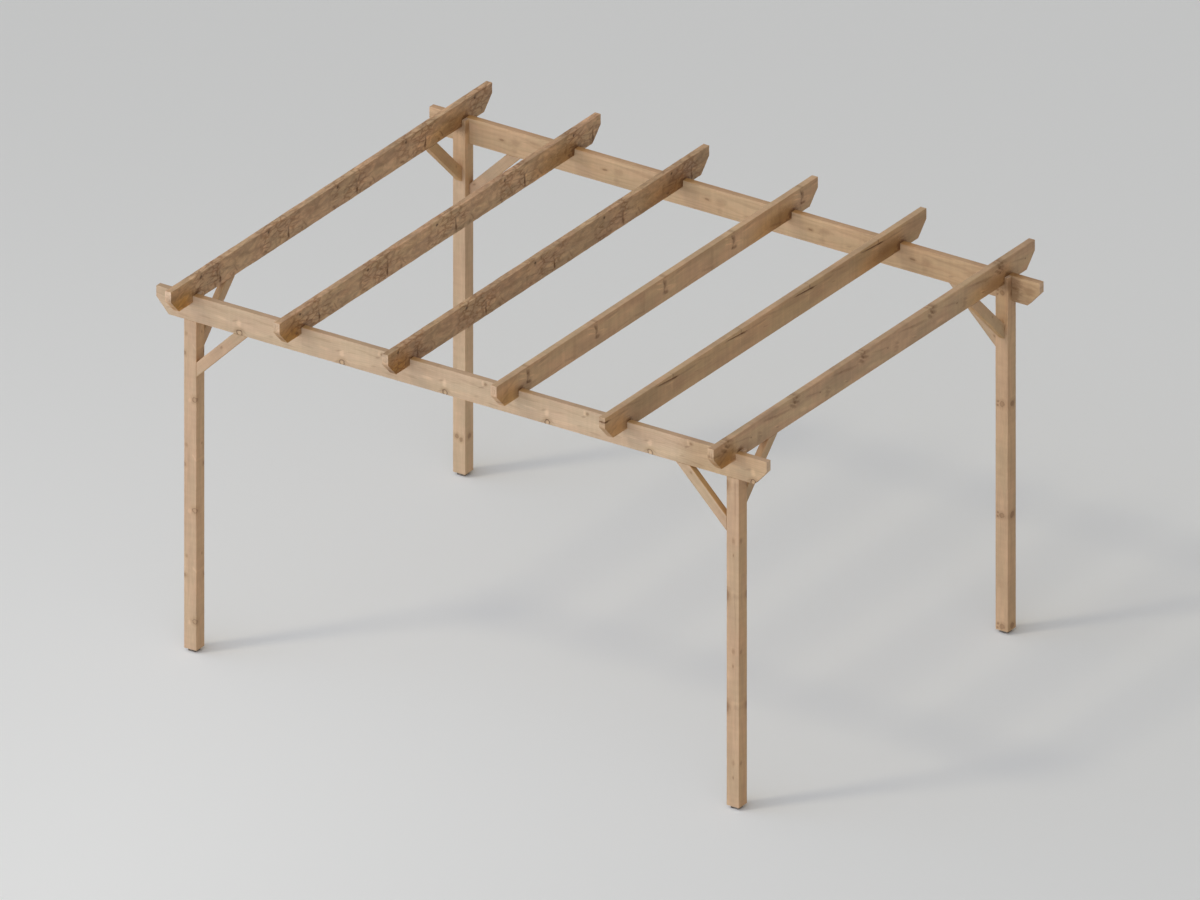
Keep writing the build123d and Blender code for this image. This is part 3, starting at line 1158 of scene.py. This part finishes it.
PLANED_MARKS = {
    4: [(84, 50, 24, 11, -62, 50), (100, 32, 18, 32, 0, 55), (104, -22, 34, 14, -6, 62),
        (90, -4, 8, 22, -8, 36), (30, 60, 46, 6, -15, -42), (42, 22, 46, 6, -15, -42),
        (150, 4, 40, 6, -10, -34), (168, -18, 46, 18, 0, -26), (267, 46, 80, 6, 2, -32),
        (270, 62, 80, 6, 2, 24), (600, 0, 26, 80, 0, 16), (480, 0, 22, 60, 8, -14),
        (330, -60, 140, 6, 6, 20), (560, -52, 90, 10, -10, 22), (100, 82, 18, 10, 0, 30)],
    5: [(225, 55, 140, 6.5, -4.5, 50), (300, 52, 30, 9, -4, 42), (277, 70, 6, 15, -8, 55),
        (450, 47, 100, 6, 0, 26), (245, 34, 52, 7, -6, -36), (268, 10, 12, 30, 0, -20),
        (480, 32, 80, 7, 2, -24), (537, -1, 26, 5, -4, 26), (590, 60, 110, 7, -8, 22),
        (660, 20, 60, 10, -6, 14), (350, -10, 90, 40, 0, 12), (80, 30, 60, 6, -4, 14)],
    6: [(95, 46, 64, 38, -24, 27), (88, 62, 36, 14, -58, 32), (116, 42, 42, 14, -18, 34),
        (132, 74, 36, 13, -14, 34), (78, 24, 38, 14, -30, 36), (70, 50, 22, 6, -24, -26),
        (100, 30, 26, 5, -24, -22), (680, 30, 120, 12, -6, 36), (-60.5, 30, 120, 12, -6, 36),
        (370, 0, 10, 6, -8, 65), (462, -6, 28, 12, -24, 28), (458, -30, 30, 14, -24, 28),
        (448, -50, 24, 12, -10, 24), (470, -20, 18, 6, -14, -24), (185, -36, 42, 14, -6, -24),
        (645, -34, 24, 5, -14, -40), (655, -42, 20, 4, -20, 45), (290, 20, 100, 7, -10, 22),
        (560, 48, 90, 8, -6, 26), (300, 70, 120, 10, 0, 16), (240, -50, 120, 20, -4, -14),
        (112, 72, 18, 14, 0, 30)],
}
print("marks of a rough rafter:", len(ROUGH_MARKS))

# %% [markdown]
# Painted shade darkens each rafter where it sits in its notches, and its
# front tail and the stretches next to both beams get painted shade and
# painted warm shade of their own. So each rafter has its own level, tone of
# the top (part weather, part painted light), level of the sawn ends,
# strength of the painted shade on its front tail (below zero it is painted
# light) and amount of painted warm shade there.

# %% Wood of the rafters
RAFTER_TONES = {
    1: ((1.07, 1.07, 1.08), (1.11, 1.14, 1.22), (1.31, 1.35, 1.42), 2, 1.0),
    2: ((1.10, 1.11, 1.11), (0.98, 0.96, 1.03), (1.01, 1.05, 1.10), 34, 1.0),
    3: ((0.94, 0.92, 0.89), (1.11, 1.15, 1.25), (1.07, 1.09, 1.12), -12, 0.95),
    4: ((1.13, 1.13, 1.13), (1.09, 1.16, 1.28), (1.06, 1.03, 1.02), -12, 0.60),
    5: ((1.04, 1.04, 0.99), (1.02, 1.06, 1.20), (0.81, 0.76, 0.70), -22, 0.45),
    6: ((1.04, 1.05, 1.08), (0.94, 0.97, 1.02), (1.01, 0.99, 0.91), 38, 0.95),
}
PALE_PATCH = (-1600, 48, 60, 36, -24, -45)


def rafter_painted_shade(number, tail_shade):
    """Painted shade at the two notches and on the front tail, two dark streaks on the tail, and on rafter 6 a
    pale patch of painted light.
    """
    notch = 1455 if number in (1, 6) else 1477.5
    marks = [(45 - notch, -46, 90, 55, 0, 22), (notch - 110, -36, 210, 70, 0, 42),
             (-notch, -44, 38, 32, 0, 75), (notch - 10, -44, 52, 34, 0, 82),
             (55 - notch, -76, 55, 18, 0, 35), (notch - 55, -76, 55, 18, 0, 35),
             (-1525, -35, 45, 50, 0, 30), (-1620, 0, 120, 90, 0, tail_shade),
             (-1610, 20, 100, 9, 24, 22), (-1660, -38, 70, 8, 24, 25)]
    return marks + [PALE_PATCH] if number == 6 else marks


for number, (level, top_tone, end_level, tail_shade, tail_warm_shade) in RAFTER_TONES.items():
    rough = number in ROUGH_RAFTERS
    give_wood(f"rafter_{number}", tone=ROUGH, start=RAFTER_START[number], pith=draw_pith(), torn=rough,
              knots=ROUGH_KNOTS if rough else [], marks=ROUGH_MARKS if rough else PLANED_MARKS[number],
              joints=rafter_painted_shade(number, tail_shade), level=level, top_tone=top_tone, end_level=end_level,
              sheltered=[(-2.0, -1.9, -1.60, -1.44, tail_warm_shade, None), (0.85, 1.20, 1.43, 1.52, 0.64, None)],
              figure=0.20 if rough else 0.18, streaks=0.12 if rough else 0.20, ring_width=0.010,
              blotch=0.14 if number == 6 else 0.10, sawn=0.03 if rough else 0.045)
print("rafters:", len(RAFTER_TONES))

# %% [markdown]
# On a post a branch comes out near a corner and shows on two faces at once,
# because its axis runs slantwise through the square. In a post's own frame
# the length points up, across points to the back and up points to the left.

# %% Wood of the posts
TO_FRONT_RIGHT = (0.0, -1.0, -0.5)
TO_BACK_RIGHT = (0.0, 1.0, -1.0)
ACROSS = (0, 0, 1)
POST_KNOTS = {
    "front_left": [(212, -45, -34, TO_FRONT_RIGHT, 14, 1.1, 5, 60),
                   (507, 0, 0, TO_BACK_RIGHT, 10, 1.3, 40, 20), (640, 0, 26, THROUGH, 6, 1.4, 20, 10),
                   (645, 16, 0, ACROSS, 5, 1.3, 35, 20)],
    "front_right": [(215, 0, -4, THROUGH, 3.5, 2.6, 55, 10), (312, 0, -4, THROUGH, 6, 2.0, 22, 10),
                    (312, -22, 0, ACROSS, 8, 1.5, 30, 15), (680, 0, 0, TO_BACK_RIGHT, 12, 2.6, 38, 12)],
    "back_left": [(266, 0, 16, THROUGH, 12, 1.0, 44, 40), (252, 0, -14, THROUGH, 10, 1.5, 48, 30),
                  (262, 2, 0, ACROSS, 15, 1.0, 52, 40)],
    "back_right": [(50, 0, -4, THROUGH, 15, 1.0, 36, 50), (64, 0, 26, THROUGH, 7.5, 0.9, 60, 10),
                   (38, 0, 28, THROUGH, 7.5, 0.9, 60, 10), (48, 4, 0, ACROSS, 17, 1.1, 58, 50)],
}
POST_MARKS = {
    "front_left": [(200, 2, 18, 14, 0, -30), (560, -30, 30, 8, 40, -20), (500, 10, 140, 8, 0, 10)],
    "front_right": [(600, -18, 180, 5, 1, 16), (712, 0, 16, 60, 0, -12), (685, 0, 20, 60, 0, 10),
                    (690, 6, 26, 12, 0, -20), (100, 30, 160, 10, 0, -12)],
    "back_left": [(420, 0, 20, 30, 20, -10)],
    "back_right": [(330, 10, 30, 26, 0, 10), (130, -6, 50, 18, 0, -14)],
}
# The level of each post, and how much painted warm shade its right-hand face gets.
POST_TONES = {"front_left": ((1.02, 0.99, 0.99), 0.20), "front_right": ((0.955, 0.91, 0.875), 0.26),
              "back_left": ((1.05, 1.06, 1.06), 0.12), "back_right": ((0.945, 0.90, 0.84), 0.08)}
# LAP_SHADE is painted shade at the top of each post, under the beam, and SOFT_SHADE a broad, faint painted
# shade on the back left post. Near its top, each face turned into the frame gets painted warm shade.
LAP_SHADE = [(1130, 0, 45, 200, 0, 50)]
SOFT_SHADE = [(300, 0, 750, 300, 0, 12)]
POST_START = -1.20
for corner, side_x, side_y in CORNERS:
    level, right_face_shade = POST_TONES[corner]
    pith = draw_pith()
    give_wood(corner + "_post", start=POST_START, pith=(pith[0], pith[1] * 0.6), knots=POST_KNOTS[corner],
              marks=POST_MARKS[corner], joints=LAP_SHADE + (SOFT_SHADE if corner == "back_left" else []),
              level=level, blotch=0.07, ring_width=0.008,
              sheltered=[(0.45, 0.75, 1.30, 1.40, 0.35, (-side_x, 0, 0)),
                         (0.74, 0.90, 1.30, 1.40, 0.22, (0, -side_y, 0)),
                         (-2.0, -1.9, 1.9, 2.0, right_face_shade, (1.0, 0, 0))])
print("posts:", len(POST_TONES))

# %% [markdown]
# A brace is plain wood with one small knot. Its upper side, turned into the
# corner, gets painted warm shade, and so does its right-hand face, most of
# all on the back left rafter brace. The rafter braces are painted a little
# darker, as shade.

# %% Wood of the braces
BRACE_KNOT = (300, 0, 12, THROUGH, 5, 1.5, 35, 30)
BRACE_TONES = {"beam": ((0.95, 0.94, 0.93), 0.65), "rafter": ((0.885, 0.875, 0.865), 0.38)}
for corner, side_x, side_y in CORNERS:
    for kind, (level, corner_warm_shade) in BRACE_TONES.items():
        pith = draw_pith()
        into_corner = (side_x, 0.0, 1.0) if kind == "beam" else (0.0, side_y, 1.0)
        side_warm_shade = 0.50 if (corner, kind) == ("back_left", "rafter") else 0.20
        give_wood(f"{corner}_{kind}_brace", start=rng.uniform(-0.5, 0.0), pith=pith, knots=[BRACE_KNOT],
                  level=level, streaks=0.16,
                  sheltered=[(-1.0, -0.9, 0.9, 1.0, corner_warm_shade, into_corner),
                             (-1.0, -0.9, 0.9, 1.0, side_warm_shade, (1.0, 0, 0))])
print("timber materials:", len(bpy.data.materials))

# %% [markdown]
# The pads are matt and dusty. A fine grit roughens them, and a coarser noise
# lays the dust on in patches.

# %% Pad material
pad_material = bpy.data.materials.new("moulded_pad")
pad_material.use_nodes = True
graph = Graph(pad_material.node_tree)
place = graph.node("TexCoord").outputs["Object"]
grit, dust = graph.noise(place, 900.0, 3.0), graph.noise(place, 60.0, 3.0)
graph.fill(
    graph.tree.nodes["Principled BSDF"],
    Base_Color=graph.blend(graph.ramp(dust, 0.4, 0.75), (0.15, 0.125, 0.10, 1), (0.36, 0.31, 0.26, 1)),
    Roughness=graph.ramp(grit, 0.3, 0.7, 0.6, 0.85),
    Normal=graph.fill(graph.node("Bump"), Distance=0.0004, Height=grit).outputs[0],
)
for corner, side_x, side_y in CORNERS:
    pad = timbers[corner + "_foot"][0]
    pad.data.materials.clear()
    pad.data.materials.append(pad_material)
print("pad material:", len(graph.tree.nodes), "nodes")

# %% [markdown]
# The floor is plain and pale, with a pool of light painted into it. In the
# photograph it is lightest at the lower left and fades to the right and to
# the back, so its colour falls off with the distance from a bright spot
# there, and once more far behind.

# %% Floor
PICTURE_RIGHT, PICTURE_BACK = (0.832, 0.554, 0.0), (-0.362, 0.544, 0.0)
SPOT_LEFT, SPOT_FRONT, SPOT_RADIUS = 3.48, 2.37, 3.99
bpy.ops.object.select_all(action="DESELECT")
bpy.ops.mesh.primitive_plane_add(size=160.0, location=(0.0, 0.0, 0.0))
floor = bpy.context.object
floor.name = "studio_floor"
floor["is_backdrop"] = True
floor_material = bpy.data.materials.new("studio_floor")
floor_material.use_nodes = True
floor.data.materials.append(floor_material)
graph = Graph(floor_material.node_tree)
place = graph.node("TexCoord").outputs["Object"]
right = graph.add(graph.dot(place, PICTURE_RIGHT), SPOT_LEFT)
far = graph.add(graph.dot(place, PICTURE_BACK), SPOT_FRONT)
reach = graph.math("DIVIDE", graph.length(graph.join(right, far, 0.0)), SPOT_RADIUS)
painted_light_pool = graph.math("EXPONENT", graph.times(graph.math("POWER", reach, 1.42), -1.0))
pale = graph.blend(painted_light_pool, (0.724, 0.740, 0.746, 1), (0.890, 0.908, 0.914, 1))
graph.fill(graph.tree.nodes["Principled BSDF"], Roughness=0.9, Specular_IOR_Level=0.1,
           Base_Color=graph.scaled(pale, graph.ramp(far, 3.2, 8.6, 1.018, 0.950)))
print("floor:", len(graph.tree.nodes), "nodes")

# %% [markdown]
# The light is soft, as under a thin cloud: a sky that is strong and cool in
# front of the pergola, and weak and warm behind it. The camera should see an
# even backdrop instead, so a Light Path node tells the rays that see the sky
# from those that only light the wood.

# %% Sky light
BACKDROP = 0.545
WARM_SKY, COOL_SKY = (1.12, 0.96, 0.72, 1.0), (0.926, 1.006, 1.158, 1.0)
world = bpy.data.worlds.new("studio")
world.use_nodes = True
world.node_tree.nodes.clear()
bpy.context.scene.world = world
graph = Graph(world.node_tree)
towards_front = Vector((-0.34, -0.93, 0.10)).normalized()
facing_front = graph.dot(graph.node("TexCoord").outputs["Generated"], towards_front)
soft = graph.ramp(facing_front, -0.3, 1.0, 0.265, 1.50)
sky_colour = graph.blend(graph.ramp(facing_front, -0.3, 0.7), WARM_SKY, COOL_SKY)
rays = graph.node("LightPath").outputs
seen = graph.add(rays["Is Camera Ray"], rays["Is Glossy Ray"])
seen = graph.add(seen, rays["Is Transmission Ray"], clamp=True)
strength = graph.add(graph.times(graph.minus(1.0, seen), soft), graph.times(seen, BACKDROP))
background = graph.fill(graph.node("Background"), Strength=strength,
                        Color=graph.blend(seen, sky_colour, (1.0, 1.0, 1.0, 1.0)))
graph.node("OutputWorld", background.outputs[0])
print("sky:", len(graph.tree.nodes), "nodes")

# %% [markdown]
# One warm lamp from the front left stands in for the sun behind the cloud.
# It is wide, so its shadows have soft edges.

# %% Key light
KEY_ELEVATION = math.radians(50)
key_data = bpy.data.lights.new("key", "SUN")
key_data.energy = 0.475
key_data.angle = math.radians(9)
key_data.color = (1.0, 0.895, 0.68)
key = bpy.data.objects.new("key", key_data)
bpy.context.scene.collection.objects.link(key)
level = math.cos(KEY_ELEVATION)
towards_key = Vector((-0.62 * level, -0.78 * level, math.sin(KEY_ELEVATION)))
key.rotation_euler = towards_key.to_track_quat("Z", "Y").to_euler()
print("key light from", rounded(towards_key))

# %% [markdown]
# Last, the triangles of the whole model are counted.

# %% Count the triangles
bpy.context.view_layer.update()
triangles = sum(len(polygon.vertices) - 2 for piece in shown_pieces() for polygon in piece.data.polygons)
print("triangles in all:", triangles)
